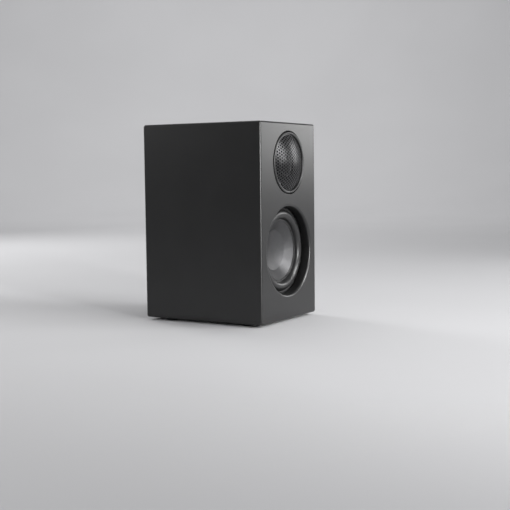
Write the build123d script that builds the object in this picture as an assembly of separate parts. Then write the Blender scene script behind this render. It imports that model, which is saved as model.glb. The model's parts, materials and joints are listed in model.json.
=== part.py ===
from build123d import *
import math
import os

# Two-way bookshelf loudspeaker, in millimetres. +Z is up and the front faces -Y.
# The origin lies on the floor, in the middle of the overall footprint.
# A depth runs from the front plane of the cabinet towards the back.

# Cabinet
CABINET_WIDTH = 125.0
CABINET_HEIGHT = 220.0
CABINET_DEPTH = 155.0
EDGE_RADIUS = 2.5
PANEL_THICKNESS = 12.0
FRONT_PANEL_THICKNESS = 16.0
SUB_BAFFLE_THICKNESS = 12.0
BACK_PANEL_THICKNESS = 12.0
BACK_RECESS = 4.0
PIN_RADIUS = 3.0
PIN_LENGTH = 14.0
PIN_INSET = 7.0
FOOT_RADIUS = 7.0
FOOT_HEIGHT = 3.0
FOOT_INSET = 16.0
FOOT_SETBACK = 26.0
PAD_THICKNESS = 9.0
PAD_DEPTH_GAP = 20.5
PAD_HEIGHT_GAP = 23.0

# Fits
GLUE_LINE = 0.05
LOOSE_FIT = 0.2
COIL_GAP = 0.4
FLANGE_PLAY = 0.5

# Driver places: margins that share the height left free by the woofer's opening
WOOFER_SIDE_MARGIN = 12.9
BOTTOM_MARGIN_RATIO = 0.2268
TOP_MARGIN_RATIO = 0.077
TWEETER_RADIUS_RATIO = 0.2914

# Woofer
WOOFER_ROUND_OVER = 3.0
WOOFER_LIP = 10.6
WOOFER_FLANGE_LAP = 4.9
WOOFER_SCREW_INSET = 3.0
BASKET_SHEET = 1.6
BASKET_MOUTH_INSET = 4.0
BASKET_WALL_DEPTH = 7.4
BASKET_FLOOR_DEPTH = 28.4
BASKET_FLOOR_RADIUS = 25.0
WINDOW_ANGLE = 58.0
WOOFER_GASKET = 0.8
FRONT_GASKET_WIDTH = 1.9
FRONT_GASKET_THICKNESS = 1.9
SURROUND_SKIN = 0.6
ROLL_INSET = 8.8
ROLL_RADIUS = 5.4
INNER_LANDING = 2.4
OUTER_LANDING = 2.6
CONE_SKIN = 0.6
CONE_DEPTH = 14.5
CONE_BAND = 10.2
DUST_CAP_DEPTH = 4.5
DUST_CAP_SKIN = 0.5
FORMER_RADIUS = 12.5
FORMER_WALL = 0.3
FORMER_LENGTH = 25.0
WINDING_WALL = 0.7
WINDING_LENGTH = 11.0
SPIDER_DEPTH = 21.8
SPIDER_LANDING = 4.0
SPIDER_RADIUS = 30.4
SPIDER_SKIN = 0.5
SPIDER_WAVE = 2.4
WOOFER_TOP_PLATE = 4.0
MAGNET_CLEARANCE = 1.5
MAGNET_OVERHANG = 4.0
WOOFER_MAGNET_BORE = 18.0
WOOFER_MAGNET = 14.0
WOOFER_BACK_PLATE = 5.0
POLE_VENT_RADIUS = 5.0
STRIP_WIDTH = 22.0
STRIP_RISE = 6.2
STRIP_SHEET = 1.6

# Tweeter
TWEETER_ROUND_OVER = 0.5
TWEETER_LIP = 11.0
TWEETER_GROOVE = 1.0
TWEETER_FLANGE_LAP = 5.0
TWEETER_FLANGE = 3.0
TWEETER_SCREW_OFFSET = 2.6
BEZEL_WIDTH = 2.7
BEZEL_PROUD = 1.0
NOSE_WALL = 2.4
THROAT_RADIUS = 15.8
THROAT_DEPTH = 2.8
FACEPLATE_WALL = 2.5
GRILLE_RIM = 1.1
GRILLE_SETBACK = 0.2
GRILLE_SHEET = 0.6
GRILLE_DOME = 6.4
HOLE_PITCH = 3.4
HOLE_WIDTH = 2.2
DOME_RADIUS = 12.6
DOME_RISE = 6.0
DOME_SKIN = 0.3
DOME_ROLL_RISE = 1.2
DOME_LANDING = 2.8
TWEETER_FORMER_RADIUS = 12.2
TWEETER_WINDING_WALL = 0.6
TWEETER_WINDING_LENGTH = 5.0
TWEETER_PLATE_RADIUS = 22.0
TWEETER_TOP_PLATE = 3.0
TWEETER_MAGNET_RADIUS = 20.0
TWEETER_MAGNET_BORE = 15.0
TWEETER_MAGNET = 7.0
TWEETER_BACK_PLATE = 3.0
TWEETER_VENT_RADIUS = 4.0
CHAMBER_RADIUS = 17.0
CHAMBER_WALL = 1.5
CHAMBER_LENGTH = 16.0

# Screws and tabs
SCREW_RADIUS = 1.4
SCREW_HEAD_RADIUS = 2.2
SCREW_HEAD = 1.8
SCREW_LENGTH = 11.0
TAB_WIDTH = 4.8
TAB_SHEET = 0.8
TAB_LENGTH = 8.0
WOOFER_TAB_OFFSET = 6.0

# Port
PORT_DROP = 60.0
PORT_RADIUS = 16.0
PORT_WALL = 2.0
PORT_LENGTH = 80.0
PORT_FLANGE_RADIUS = 24.0
PORT_FLANGE = 2.0
PORT_FLARE = 4.0

# Terminals
TERMINAL_HEIGHT = 58.0
CUP_WIDTH = 58.0
CUP_HEIGHT = 42.0
CUP_CORNER = 6.0
CUP_BORDER = 7.0
CUP_FLANGE = 2.0
CUP_WALL = 2.0
CUP_DEPTH = 26.0
CUP_TAPER = 5.0
POST_SPACING = 19.05
STUD_RADIUS = 3.0
STUD_TAIL = 5.5
BANANA_RADIUS = 2.0
BANANA_DEPTH = 12.5
WIRE_HOLE_RADIUS = 1.2
COLLAR_RADIUS = 6.6
COLLAR_LENGTH = 3.5
CAP_RADIUS = 6.0
CAP_LENGTH = 18.0
CAP_END = 1.5
CAP_MOUTH_RADIUS = 2.6
FLUTE_RADIUS = 0.7
FLUTE_COUNT = 14
INSERT_WALL = 1.2
INSERT_LENGTH = 9.0
NUT_WIDTH = 10.0
NUT_THICKNESS = 3.0
TAG_SHEET = 0.8
TAG_RADIUS = 5.2
TAG_REACH = 11.0

# Crossover
BOARD_WIDTH = 86.0
BOARD_DEPTH = 60.0
BOARD_SHEET = 1.6
BOARD_SETBACK = 60.0
BOARD_RAISE = 5.0
BOARD_POST_RADIUS = 3.0
BOARD_POST_INSET = 6.0
BOARD_POST_SETBACK = 13.0
LARGE_COIL_RADIUS = 16.0
LARGE_COIL_HEIGHT = 13.0
SMALL_COIL_RADIUS = 12.0
SMALL_COIL_HEIGHT = 11.0
COIL_CORE_RADIUS = 6.0
COIL_FLANGE = 1.2
COIL_OFFSET = 6.0
COMPONENT_GAP = 2.0
CAPACITOR_MARGIN = 4.0
CAPACITOR_RADIUS = 6.0
FILM_LENGTH = 21.0
ELECTROLYTIC_LENGTH = 20.0
RESISTOR_WIDTH = 8.0
RESISTOR_LENGTH = 30.0
LEAD_RADIUS = 1.0
LEAD_BEND = 8.0
LEAD_CLEARANCE = 4.0
TAG_LEAD_RUN = 14.0
TWEETER_LEAD_RUN = 12.0
TWEETER_LEAD_DROP = 32.0
TWEETER_LEAD_STEP = 6.0

# Places that follow from the sizes above
GRILLE_REACH = GRILLE_DOME - GRILLE_SETBACK
FRONT_Y = (GRILLE_REACH - CABINET_DEPTH) / 2
BOTTOM = FOOT_HEIGHT
TOP = BOTTOM + CABINET_HEIGHT
MIDDLE = BOTTOM + CABINET_HEIGHT / 2
INNER_HALF = CABINET_WIDTH / 2 - PANEL_THICKNESS
INNER_FLOOR = BOTTOM + PANEL_THICKNESS
INNER_CEILING = TOP - PANEL_THICKNESS
BACK_FACE = CABINET_DEPTH - BACK_RECESS
BAFFLE_FACE = FRONT_PANEL_THICKNESS
WOOFER_OPENING_RADIUS = CABINET_WIDTH / 2 - WOOFER_SIDE_MARGIN
FREE_HEIGHT = CABINET_HEIGHT - 2 * WOOFER_OPENING_RADIUS
TWEETER_OPENING_RADIUS = TWEETER_RADIUS_RATIO * FREE_HEIGHT
WOOFER_Z = BOTTOM + BOTTOM_MARGIN_RATIO * FREE_HEIGHT + WOOFER_OPENING_RADIUS
TWEETER_Z = TOP - TOP_MARGIN_RATIO * FREE_HEIGHT - TWEETER_OPENING_RADIUS
PORT_Z = TOP - PORT_DROP
TERMINAL_Z = BOTTOM + TERMINAL_HEIGHT
WOOFER_FLANGE_RADIUS = WOOFER_OPENING_RADIUS + WOOFER_FLANGE_LAP
BASKET_MOUTH_RADIUS = WOOFER_OPENING_RADIUS - BASKET_MOUTH_INSET
ROLL_CIRCLE = WOOFER_OPENING_RADIUS - ROLL_INSET
WOOFER_MAGNET_RADIUS = INNER_HALF - PAD_THICKNESS - MAGNET_CLEARANCE
WOOFER_PLATE_RADIUS = WOOFER_MAGNET_RADIUS - MAGNET_OVERHANG
TWEETER_FLANGE_RADIUS = TWEETER_OPENING_RADIUS + TWEETER_FLANGE_LAP

parts = {}


def outline(*points):
    return make_face(Polyline(*points, close=True))


def ring(inner, outer, front, back):
    return outline((inner, front), (outer, front), (outer, back), (inner, back))


def skin(near, thickness):
    """Section of a thin skin: its front line, and the same line a thickness further back."""
    far = Pos(0, thickness) * near
    ends = [Line(near @ 0, far @ 0), Line(near @ 1, far @ 1)]
    return make_face([*near.edges(), *far.edges(), *ends])


def turned(section, height, x=0.0):
    """Turn a section of (radius, depth) about a front-to-back axis."""
    return Pos(x, FRONT_Y, height) * revolve(section, Axis.Y)


def upright(section, x, depth, base):
    """Turn a section of (radius, height) about a vertical axis."""
    return Pos(x, FRONT_Y + depth, base) * (Rot(X=90) * revolve(section, Axis.Y))


def block(x, depth, z, width, length, height):
    """Box centred in x and z, reaching back from a depth."""
    return Pos(x, FRONT_Y + depth + length / 2, z) * Box(width, length, height)


def group(solids):
    return Part() + list(solids)


def around(count, radius, height, start=45.0):
    """Places on a circle about a front-to-back axis, as x and z."""
    angles = [math.radians(start + 360 / count * i) for i in range(count)]
    return [(radius * math.cos(a), height + radius * math.sin(a)) for a in angles]


def screw(x, z, seat, backwards=1):
    """Pan-head screw with its head on a seat depth, driven towards the back or the front."""
    head = seat - backwards * SCREW_HEAD
    tip = seat + backwards * SCREW_LENGTH
    section = outline(
        (0, head), (SCREW_HEAD_RADIUS, head), (SCREW_HEAD_RADIUS, seat), (SCREW_RADIUS, seat),
        (SCREW_RADIUS, tip - backwards * SCREW_RADIUS), (0, tip),
    )
    return turned(section, z, x)


def pilot(x, z, front, back, play):
    return turned(ring(0, SCREW_RADIUS + play, front, back), z, x)


def rounded_shell(front, length, side):
    """Full-size block, rounded along its four long edges and around its outer face."""
    raw = block(0, front, MIDDLE, CABINET_WIDTH, length, CABINET_HEIGHT)
    long_edges = raw.edges().filter_by(Axis.Y)
    rim = raw.faces().sort_by(Axis.Y)[side].edges()
    return fillet(long_edges + rim, EDGE_RADIUS)


def inner_board(front, thickness):
    return block(0, front, MIDDLE, 2 * INNER_HALF, thickness, INNER_CEILING - INNER_FLOOR)


def driver_opening(radius, round_over, lip, pocket):
    """Opening with a rounded front edge and a wider pocket behind its lip."""
    behind = FRONT_PANEL_THICKNESS + 1
    edges = [
        Polyline((0, -1), (radius + round_over, -1), (radius + round_over, 0)),
        RadiusArc((radius + round_over, 0), (radius, round_over), round_over),
        Polyline(
            (radius, round_over), (radius, lip), (pocket, lip), (pocket, behind), (0, behind), (0, -1)
        ),
    ]
    return make_face([e for edge in edges for e in edge.edges()])


# Woofer depths, from the sub-baffle forwards and then back into the box
flange_front = BAFFLE_FACE - WOOFER_GASKET - BASKET_SHEET
landing_front = flange_front - SURROUND_SKIN
roll_inside = ROLL_CIRCLE - ROLL_RADIUS
roll_outside = ROLL_CIRCLE + ROLL_RADIUS
landing_outside = roll_outside + OUTER_LANDING
cone_edge = roll_inside - INNER_LANDING
cap_radius = cone_edge - CONE_BAND
former_outside = FORMER_RADIUS + FORMER_WALL
cone_neck = former_outside + GLUE_LINE
neck_depth = flange_front + CONE_DEPTH
cone_slope = CONE_DEPTH / (cone_edge - cone_neck)
cap_rim = flange_front + CONE_BAND * cone_slope - DUST_CAP_SKIN - GLUE_LINE
former_front = neck_depth - 1.0
basket_floor = flange_front + BASKET_FLOOR_DEPTH
spider_seat = flange_front + SPIDER_DEPTH
spider_inside = SPIDER_RADIUS - SPIDER_LANDING
motor_front = basket_floor + BASKET_SHEET
magnet_front = motor_front + WOOFER_TOP_PLATE
yoke_front = magnet_front + WOOFER_MAGNET
yoke_back = yoke_front + WOOFER_BACK_PLATE
winding_front = motor_front + (WOOFER_TOP_PLATE - WINDING_LENGTH) / 2
winding_outside = former_outside + WINDING_WALL
woofer_bore = winding_outside + COIL_GAP
woofer_pole = FORMER_RADIUS - COIL_GAP
basket_throat = BASKET_MOUTH_RADIUS + BASKET_SHEET + LOOSE_FIT
woofer_screws = around(4, WOOFER_FLANGE_RADIUS - WOOFER_SCREW_INSET, WOOFER_Z)

# Tweeter depths
nose_radius = TWEETER_OPENING_RADIUS - TWEETER_GROOVE
bezel_inside = nose_radius - BEZEL_WIDTH
grille_radius = bezel_inside - LOOSE_FIT
grille_seat = GRILLE_SETBACK + GRILLE_SHEET
grille_foot = grille_radius - GRILLE_RIM
well_radius = grille_foot - LOOSE_FIT
floor_back = THROAT_DEPTH + FACEPLATE_WALL
diaphragm_front = floor_back - DOME_SKIN
dome_landing_outside = THROAT_RADIUS + DOME_LANDING
tweeter_motor = floor_back
tweeter_magnet = tweeter_motor + TWEETER_TOP_PLATE
tweeter_back = tweeter_magnet + TWEETER_MAGNET
chamber_front = tweeter_back + TWEETER_BACK_PLATE
tweeter_winding_outside = TWEETER_FORMER_RADIUS + TWEETER_WINDING_WALL
tweeter_flange_front = BAFFLE_FACE - TWEETER_FLANGE
tweeter_screws = around(4, TWEETER_OPENING_RADIUS + TWEETER_SCREW_OFFSET, TWEETER_Z)

# Terminal depths, from the back panel forwards
cup_face = BACK_FACE + CUP_FLANGE
cup_floor = cup_face - CUP_DEPTH
collar_face = cup_floor + COLLAR_LENGTH
cap_base = collar_face + LOOSE_FIT
cap_end = cap_base + CAP_LENGTH
stud_end = cap_end - CAP_END - LOOSE_FIT
nut_seat = cup_floor - CUP_WALL - TAG_SHEET
stud_tail = nut_seat - STUD_TAIL
cap_bore = STUD_RADIUS + LOOSE_FIT + INSERT_WALL + GLUE_LINE
post_places = {"black": -POST_SPACING / 2, "red": POST_SPACING / 2}


def make_cabinet():
    sleeve_front = BAFFLE_FACE
    sleeve_length = CABINET_DEPTH - sleeve_front
    sleeve = rounded_shell(sleeve_front, sleeve_length, -1)
    sleeve -= inner_board(sleeve_front, sleeve_length)
    outer = [(-1, BOTTOM), (1, BOTTOM), (1, TOP), (-1, TOP)]
    inner = [(-1, INNER_FLOOR), (1, INNER_FLOOR), (1, INNER_CEILING), (-1, INNER_CEILING)]
    start = FRONT_Y + sleeve_front
    for i, side in enumerate(("bottom", "right", "top", "left")):
        k = (i + 1) % 4
        corners = [(sx * CABINET_WIDTH / 2, start, z) for sx, z in (outer[i], outer[k])]
        corners += [(sx * INNER_HALF, start, z) for sx, z in (inner[k], inner[i])]
        wedge = extrude(outline(*corners), sleeve_length, dir=(0, 1, 0))
        parts[f"{side}_panel"] = sleeve & wedge

    pin_x = INNER_HALF - PIN_INSET
    pins = [
        (sx * pin_x, z) for sx in (-1, 1) for z in (INNER_FLOOR + PIN_INSET, INNER_CEILING - PIN_INSET)
    ]
    pin_front = BAFFLE_FACE - PIN_LENGTH / 2
    pin_back = BAFFLE_FACE + PIN_LENGTH / 2
    pin = ring(0, PIN_RADIUS, pin_front, pin_back)
    pin_hole = ring(0, PIN_RADIUS + GLUE_LINE, pin_front, pin_back)
    parts["front_panel_pins"] = group(turned(pin, z, x) for x, z in pins)
    pin_holes = [turned(pin_hole, z, x) for x, z in pins]

    front = rounded_shell(0, FRONT_PANEL_THICKNESS, 0)
    woofer_pocket = WOOFER_FLANGE_RADIUS + FLANGE_PLAY
    front -= turned(
        driver_opening(WOOFER_OPENING_RADIUS, WOOFER_ROUND_OVER, WOOFER_LIP, woofer_pocket), WOOFER_Z
    )
    tweeter_pocket = TWEETER_FLANGE_RADIUS + FLANGE_PLAY
    front -= turned(
        driver_opening(TWEETER_OPENING_RADIUS, TWEETER_ROUND_OVER, TWEETER_LIP, tweeter_pocket), TWEETER_Z
    )
    parts["front_panel"] = front - pin_holes

    baffle_back = BAFFLE_FACE + SUB_BAFFLE_THICKNESS
    baffle = inner_board(BAFFLE_FACE, SUB_BAFFLE_THICKNESS) - pin_holes
    baffle -= turned(ring(0, basket_throat, BAFFLE_FACE, baffle_back), WOOFER_Z)
    baffle -= turned(ring(0, TWEETER_PLATE_RADIUS + FLANGE_PLAY, BAFFLE_FACE, baffle_back), TWEETER_Z)
    baffle -= [
        pilot(x, z, BAFFLE_FACE, baffle_back, GLUE_LINE) for x, z in woofer_screws + tweeter_screws
    ]
    parts["sub_baffle"] = baffle

    back_front = BACK_FACE - BACK_PANEL_THICKNESS
    back = inner_board(back_front, BACK_PANEL_THICKNESS)
    back -= turned(ring(0, PORT_RADIUS + PORT_WALL + LOOSE_FIT, back_front, BACK_FACE), PORT_Z)
    cup_margin = CUP_WALL + LOOSE_FIT
    back -= cup_block(cup_margin, CUP_CORNER + cup_margin, back_front, BACK_PANEL_THICKNESS)
    back -= [pilot(x, z, back_front, BACK_FACE, GLUE_LINE) for x, z in cup_screw_places()]
    parts["back_panel"] = back

    foot_section = outline(
        (0, 0), (FOOT_RADIUS - 1, 0), (FOOT_RADIUS, 1), (FOOT_RADIUS, FOOT_HEIGHT), (0, FOOT_HEIGHT)
    )
    foot_x = CABINET_WIDTH / 2 - FOOT_INSET
    for side, x in (("left", -foot_x), ("right", foot_x)):
        for end, depth in (("front", FOOT_SETBACK), ("rear", CABINET_DEPTH - FOOT_SETBACK)):
            parts[f"foot_{end}_{side}"] = upright(foot_section, x, depth, 0)

    pad_x = INNER_HALF - PAD_THICKNESS / 2
    pad_front = baffle_back + PAD_DEPTH_GAP
    pad_depth = back_front - PAD_DEPTH_GAP - pad_front
    pad_height = INNER_CEILING - INNER_FLOOR - 2 * PAD_HEIGHT_GAP
    parts["damping_pads"] = group(
        block(sx * pad_x, pad_front, MIDDLE, PAD_THICKNESS, pad_depth, pad_height) for sx in (-1, 1)
    )


def make_woofer():
    profile = Polyline(
        (WOOFER_FLANGE_RADIUS, flange_front),
        (BASKET_MOUTH_RADIUS, flange_front),
        (BASKET_MOUTH_RADIUS - 1.2, flange_front + BASKET_WALL_DEPTH),
        (SPIDER_RADIUS + 0.6, spider_seat),
        (spider_inside, spider_seat),
        (BASKET_FLOOR_RADIUS, basket_floor),
        (woofer_bore, basket_floor),
    )
    sheet = offset(profile, BASKET_SHEET, kind=Kind.INTERSECTION, side=Side.RIGHT)
    basket = revolve(make_face(sheet), Axis.Y)
    window = ring(
        spider_inside, WOOFER_FLANGE_RADIUS, flange_front + BASKET_WALL_DEPTH + 1.5, spider_seat - 2
    )
    opening = Rot(Y=-WINDOW_ANGLE / 2) * revolve(window, Axis.Y, WINDOW_ANGLE)
    basket -= [Rot(Y=90 * i) * opening for i in range(4)]
    basket = Pos(0, FRONT_Y, WOOFER_Z) * basket
    flange_back = flange_front + BASKET_SHEET
    basket -= [pilot(x, z, flange_front, flange_back, LOOSE_FIT) for x, z in woofer_screws]
    parts["woofer_basket"] = basket

    rear_gasket = turned(ring(basket_throat, WOOFER_FLANGE_RADIUS, flange_back, BAFFLE_FACE), WOOFER_Z)
    rear_gasket -= [pilot(x, z, flange_back, BAFFLE_FACE, LOOSE_FIT) for x, z in woofer_screws]
    parts["woofer_rear_gasket"] = rear_gasket
    gasket_inside = roll_outside + LOOSE_FIT
    parts["woofer_front_gasket"] = turned(
        ring(
            gasket_inside, gasket_inside + FRONT_GASKET_WIDTH,
            landing_front - FRONT_GASKET_THICKNESS, landing_front,
        ),
        WOOFER_Z,
    )
    parts["woofer_screws"] = group(screw(x, z, flange_front) for x, z in woofer_screws)

    inner_roll = ROLL_RADIUS - SURROUND_SKIN
    near = [
        Line((landing_outside, landing_front), (roll_outside, landing_front)),
        ThreePointArc(
            (roll_outside, landing_front),
            (ROLL_CIRCLE, landing_front - ROLL_RADIUS),
            (roll_inside, landing_front),
        ),
        Line((roll_inside, landing_front), (cone_edge, landing_front)),
    ]
    far = [
        Polyline(
            (cone_edge, landing_front), (cone_edge, flange_front),
            (ROLL_CIRCLE - inner_roll, flange_front), (ROLL_CIRCLE - inner_roll, landing_front),
        ),
        ThreePointArc(
            (ROLL_CIRCLE - inner_roll, landing_front),
            (ROLL_CIRCLE, landing_front - inner_roll),
            (ROLL_CIRCLE + inner_roll, landing_front),
        ),
        Polyline(
            (ROLL_CIRCLE + inner_roll, landing_front), (ROLL_CIRCLE + inner_roll, flange_front),
            (landing_outside, flange_front), (landing_outside, landing_front),
        ),
    ]
    surround = make_face([e for edge in near + far for e in edge.edges()])
    parts["woofer_surround"] = turned(surround, WOOFER_Z)

    cone_front = Polyline(
        (roll_inside - LOOSE_FIT, flange_front), (cone_edge, flange_front), (cone_neck, neck_depth)
    )
    parts["woofer_cone"] = turned(skin(cone_front, CONE_SKIN), WOOFER_Z)
    sunken = -dish_radius(cap_radius, DUST_CAP_DEPTH)
    dish = RadiusArc((cap_radius, cap_rim), (0, cap_rim + DUST_CAP_DEPTH), sunken)
    parts["woofer_dust_cap"] = turned(skin(dish, DUST_CAP_SKIN), WOOFER_Z)
    parts["woofer_former"] = turned(
        ring(FORMER_RADIUS, former_outside, former_front, former_front + FORMER_LENGTH), WOOFER_Z
    )
    parts["woofer_voice_coil"] = turned(
        ring(former_outside, winding_outside, winding_front, winding_front + WINDING_LENGTH), WOOFER_Z
    )

    flat_back = spider_seat - SPIDER_SKIN
    wave_start = spider_inside - 1.5
    wave_count = int((wave_start - former_outside - 1.5) / SPIDER_WAVE)
    curve = [Line((SPIDER_RADIUS, flat_back), (wave_start, flat_back))]
    for i in range(wave_count):
        start = wave_start - i * SPIDER_WAVE
        swing = -1 if i % 2 else 1
        crest = (start - SPIDER_WAVE / 2, flat_back + swing * SPIDER_WAVE / 3)
        curve.append(ThreePointArc((start, flat_back), crest, (start - SPIDER_WAVE, flat_back)))
    curve.append(
        Line((wave_start - wave_count * SPIDER_WAVE, flat_back), (former_outside + GLUE_LINE, flat_back))
    )
    parts["woofer_spider"] = turned(skin(Curve() + curve, SPIDER_SKIN), WOOFER_Z)

    parts["woofer_top_plate"] = turned(
        ring(woofer_bore, WOOFER_PLATE_RADIUS, motor_front, magnet_front), WOOFER_Z
    )
    parts["woofer_magnet"] = turned(
        ring(WOOFER_MAGNET_BORE, WOOFER_MAGNET_RADIUS, magnet_front, yoke_front), WOOFER_Z
    )
    parts["woofer_yoke"] = turned(
        outline(
            (POLE_VENT_RADIUS, motor_front), (woofer_pole, motor_front), (woofer_pole, yoke_front),
            (WOOFER_PLATE_RADIUS, yoke_front), (WOOFER_PLATE_RADIUS, yoke_back - 1),
            (WOOFER_PLATE_RADIUS - 1, yoke_back), (POLE_VENT_RADIUS, yoke_back),
        ),
        WOOFER_Z,
    )
    strip_middle = WOOFER_Z + (strip_foot() + strip_top()) / 2
    parts["woofer_terminal_strip"] = block(
        0, strip_front(), strip_middle, STRIP_WIDTH, STRIP_SHEET, strip_top() - strip_foot()
    )


def dish_radius(half_width, rise):
    return (half_width**2 + rise**2) / (2 * rise)


def strip_foot():
    return spider_inside + BASKET_SHEET + LOOSE_FIT


def strip_top():
    """The strip stands clear of the magnet, so that its leads pass over the rim."""
    return WOOFER_MAGNET_RADIUS + STRIP_RISE


def strip_front():
    return spider_seat + BASKET_SHEET


def woofer_tab_height():
    return WOOFER_Z + strip_top() - TAB_WIDTH / 2


def make_tweeter():
    bead = ThreePointArc(
        (nose_radius, 0), (nose_radius - BEZEL_WIDTH / 2, -BEZEL_PROUD), (bezel_inside, 0)
    )
    well = Polyline(
        (bezel_inside, 0), (bezel_inside, grille_seat), (well_radius, grille_seat),
        (well_radius, THROAT_DEPTH), (THROAT_RADIUS, THROAT_DEPTH), (THROAT_RADIUS, diaphragm_front),
        (dome_landing_outside, diaphragm_front), (dome_landing_outside, floor_back),
        (nose_radius - NOSE_WALL, floor_back), (nose_radius - NOSE_WALL, BAFFLE_FACE),
        (TWEETER_FLANGE_RADIUS, BAFFLE_FACE), (TWEETER_FLANGE_RADIUS, tweeter_flange_front),
        (nose_radius, tweeter_flange_front), (nose_radius, 0),
    )
    faceplate = turned(make_face([*bead.edges(), *well.edges()]), TWEETER_Z)
    faceplate -= [pilot(x, z, tweeter_flange_front, BAFFLE_FACE, LOOSE_FIT) for x, z in tweeter_screws]
    parts["tweeter_faceplate"] = faceplate
    parts["tweeter_screws"] = group(screw(x, z, tweeter_flange_front) for x, z in tweeter_screws)

    dome_line = RadiusArc(
        (grille_foot, GRILLE_SETBACK), (0, -GRILLE_REACH), dish_radius(grille_foot, GRILLE_DOME)
    )
    rim_line = Line((grille_radius, GRILLE_SETBACK), (grille_foot, GRILLE_SETBACK))
    grille = revolve(skin(Curve() + [rim_line, dome_line], GRILLE_SHEET), Axis.Y)
    column = HOLE_PITCH * math.sqrt(3) / 2
    reach = grille_foot - HOLE_WIDTH
    count = int(reach / column) + 1
    places = [
        (i * column, (j + i % 2 / 2) * HOLE_PITCH)
        for i in range(-count, count + 1)
        for j in range(-count, count + 1)
    ]
    hole = RegularPolygon(HOLE_WIDTH / 2, 6, major_radius=False)
    holes = Sketch() + [Pos(x, z) * hole for x, z in places if math.hypot(x, z) < reach]
    grille -= extrude(Plane.XZ * holes, GRILLE_REACH + 1)
    parts["tweeter_grille"] = Pos(0, FRONT_Y, TWEETER_Z) * grille

    dome_top = diaphragm_front - DOME_RISE
    dome = RadiusArc((DOME_RADIUS, diaphragm_front), (0, dome_top), dish_radius(DOME_RADIUS, DOME_RISE))
    parts["tweeter_dome"] = turned(skin(dome, DOME_SKIN), TWEETER_Z)
    roll_start = DOME_RADIUS + GLUE_LINE
    roll = ThreePointArc(
        (roll_start, diaphragm_front),
        ((roll_start + THROAT_RADIUS) / 2, diaphragm_front - DOME_ROLL_RISE),
        (THROAT_RADIUS, diaphragm_front),
    )
    landing = Line((THROAT_RADIUS, diaphragm_front), (dome_landing_outside - GLUE_LINE, diaphragm_front))
    parts["tweeter_surround"] = turned(skin(Curve() + [roll, landing], DOME_SKIN), TWEETER_Z)
    parts["tweeter_voice_coil"] = turned(
        ring(
            TWEETER_FORMER_RADIUS, tweeter_winding_outside - LOOSE_FIT,
            diaphragm_front + DOME_SKIN, diaphragm_front + DOME_SKIN + TWEETER_WINDING_LENGTH,
        ),
        TWEETER_Z,
    )
    parts["tweeter_top_plate"] = turned(
        ring(tweeter_winding_outside + COIL_GAP, TWEETER_PLATE_RADIUS, tweeter_motor, tweeter_magnet),
        TWEETER_Z,
    )
    parts["tweeter_magnet"] = turned(
        ring(TWEETER_MAGNET_BORE, TWEETER_MAGNET_RADIUS, tweeter_magnet, tweeter_back), TWEETER_Z
    )
    pole = TWEETER_FORMER_RADIUS - COIL_GAP
    parts["tweeter_yoke"] = turned(
        outline(
            (TWEETER_VENT_RADIUS, tweeter_motor), (pole, tweeter_motor), (pole, tweeter_back),
            (TWEETER_MAGNET_RADIUS, tweeter_back), (TWEETER_MAGNET_RADIUS, chamber_front),
            (TWEETER_VENT_RADIUS, chamber_front),
        ),
        TWEETER_Z,
    )
    chamber_back = chamber_front + CHAMBER_LENGTH
    parts["tweeter_rear_chamber"] = turned(
        outline(
            (CHAMBER_RADIUS - CHAMBER_WALL, chamber_front), (CHAMBER_RADIUS, chamber_front),
            (CHAMBER_RADIUS, chamber_back), (0, chamber_back), (0, chamber_back - CHAMBER_WALL),
            (CHAMBER_RADIUS - CHAMBER_WALL, chamber_back - CHAMBER_WALL),
        ),
        TWEETER_Z,
    )


def tweeter_tab_front():
    return chamber_front + CHAMBER_LENGTH - TAB_LENGTH / 2


def make_tabs():
    tabs = []
    for side in (-1, 1):
        tabs.append(
            block(
                side * WOOFER_TAB_OFFSET, strip_front() + STRIP_SHEET, woofer_tab_height(),
                TAB_SHEET, TAB_LENGTH, TAB_WIDTH,
            )
        )
        tabs.append(
            block(
                side * (CHAMBER_RADIUS + TAB_SHEET / 2), tweeter_tab_front(), TWEETER_Z,
                TAB_SHEET, TAB_LENGTH, TAB_WIDTH,
            )
        )
    parts["driver_tabs"] = group(tabs)


def make_port():
    mouth = BACK_FACE + PORT_FLANGE
    tube = PORT_RADIUS + PORT_WALL
    inner_end = mouth - PORT_LENGTH
    flare = RadiusArc((PORT_RADIUS, mouth - PORT_FLARE), (PORT_RADIUS + PORT_FLARE, mouth), PORT_FLARE)
    walls = Polyline(
        (PORT_RADIUS + PORT_FLARE, mouth), (PORT_FLANGE_RADIUS, mouth), (PORT_FLANGE_RADIUS, BACK_FACE),
        (tube, BACK_FACE), (tube, inner_end), (PORT_RADIUS, inner_end), (PORT_RADIUS, mouth - PORT_FLARE),
    )
    parts["port_tube"] = turned(make_face([*flare.edges(), *walls.edges()]), PORT_Z)


def cup_plane(depth):
    return Plane((0, FRONT_Y + depth, TERMINAL_Z), x_dir=(-1, 0, 0), z_dir=(0, 1, 0))


def cup_block(margin, corner, front, length):
    """Straight block of the cup's opening, widened by a margin all round."""
    shape = RectangleRounded(CUP_WIDTH + 2 * margin, CUP_HEIGHT + 2 * margin, corner)
    return extrude(cup_plane(front) * shape, length)


def cup_screw_places():
    x = CUP_WIDTH / 2 + CUP_BORDER / 2
    z = CUP_HEIGHT / 2 + CUP_BORDER / 2
    return [(sx * x, TERMINAL_Z + sz * z) for sx in (-1, 1) for sz in (-1, 1)]


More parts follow.
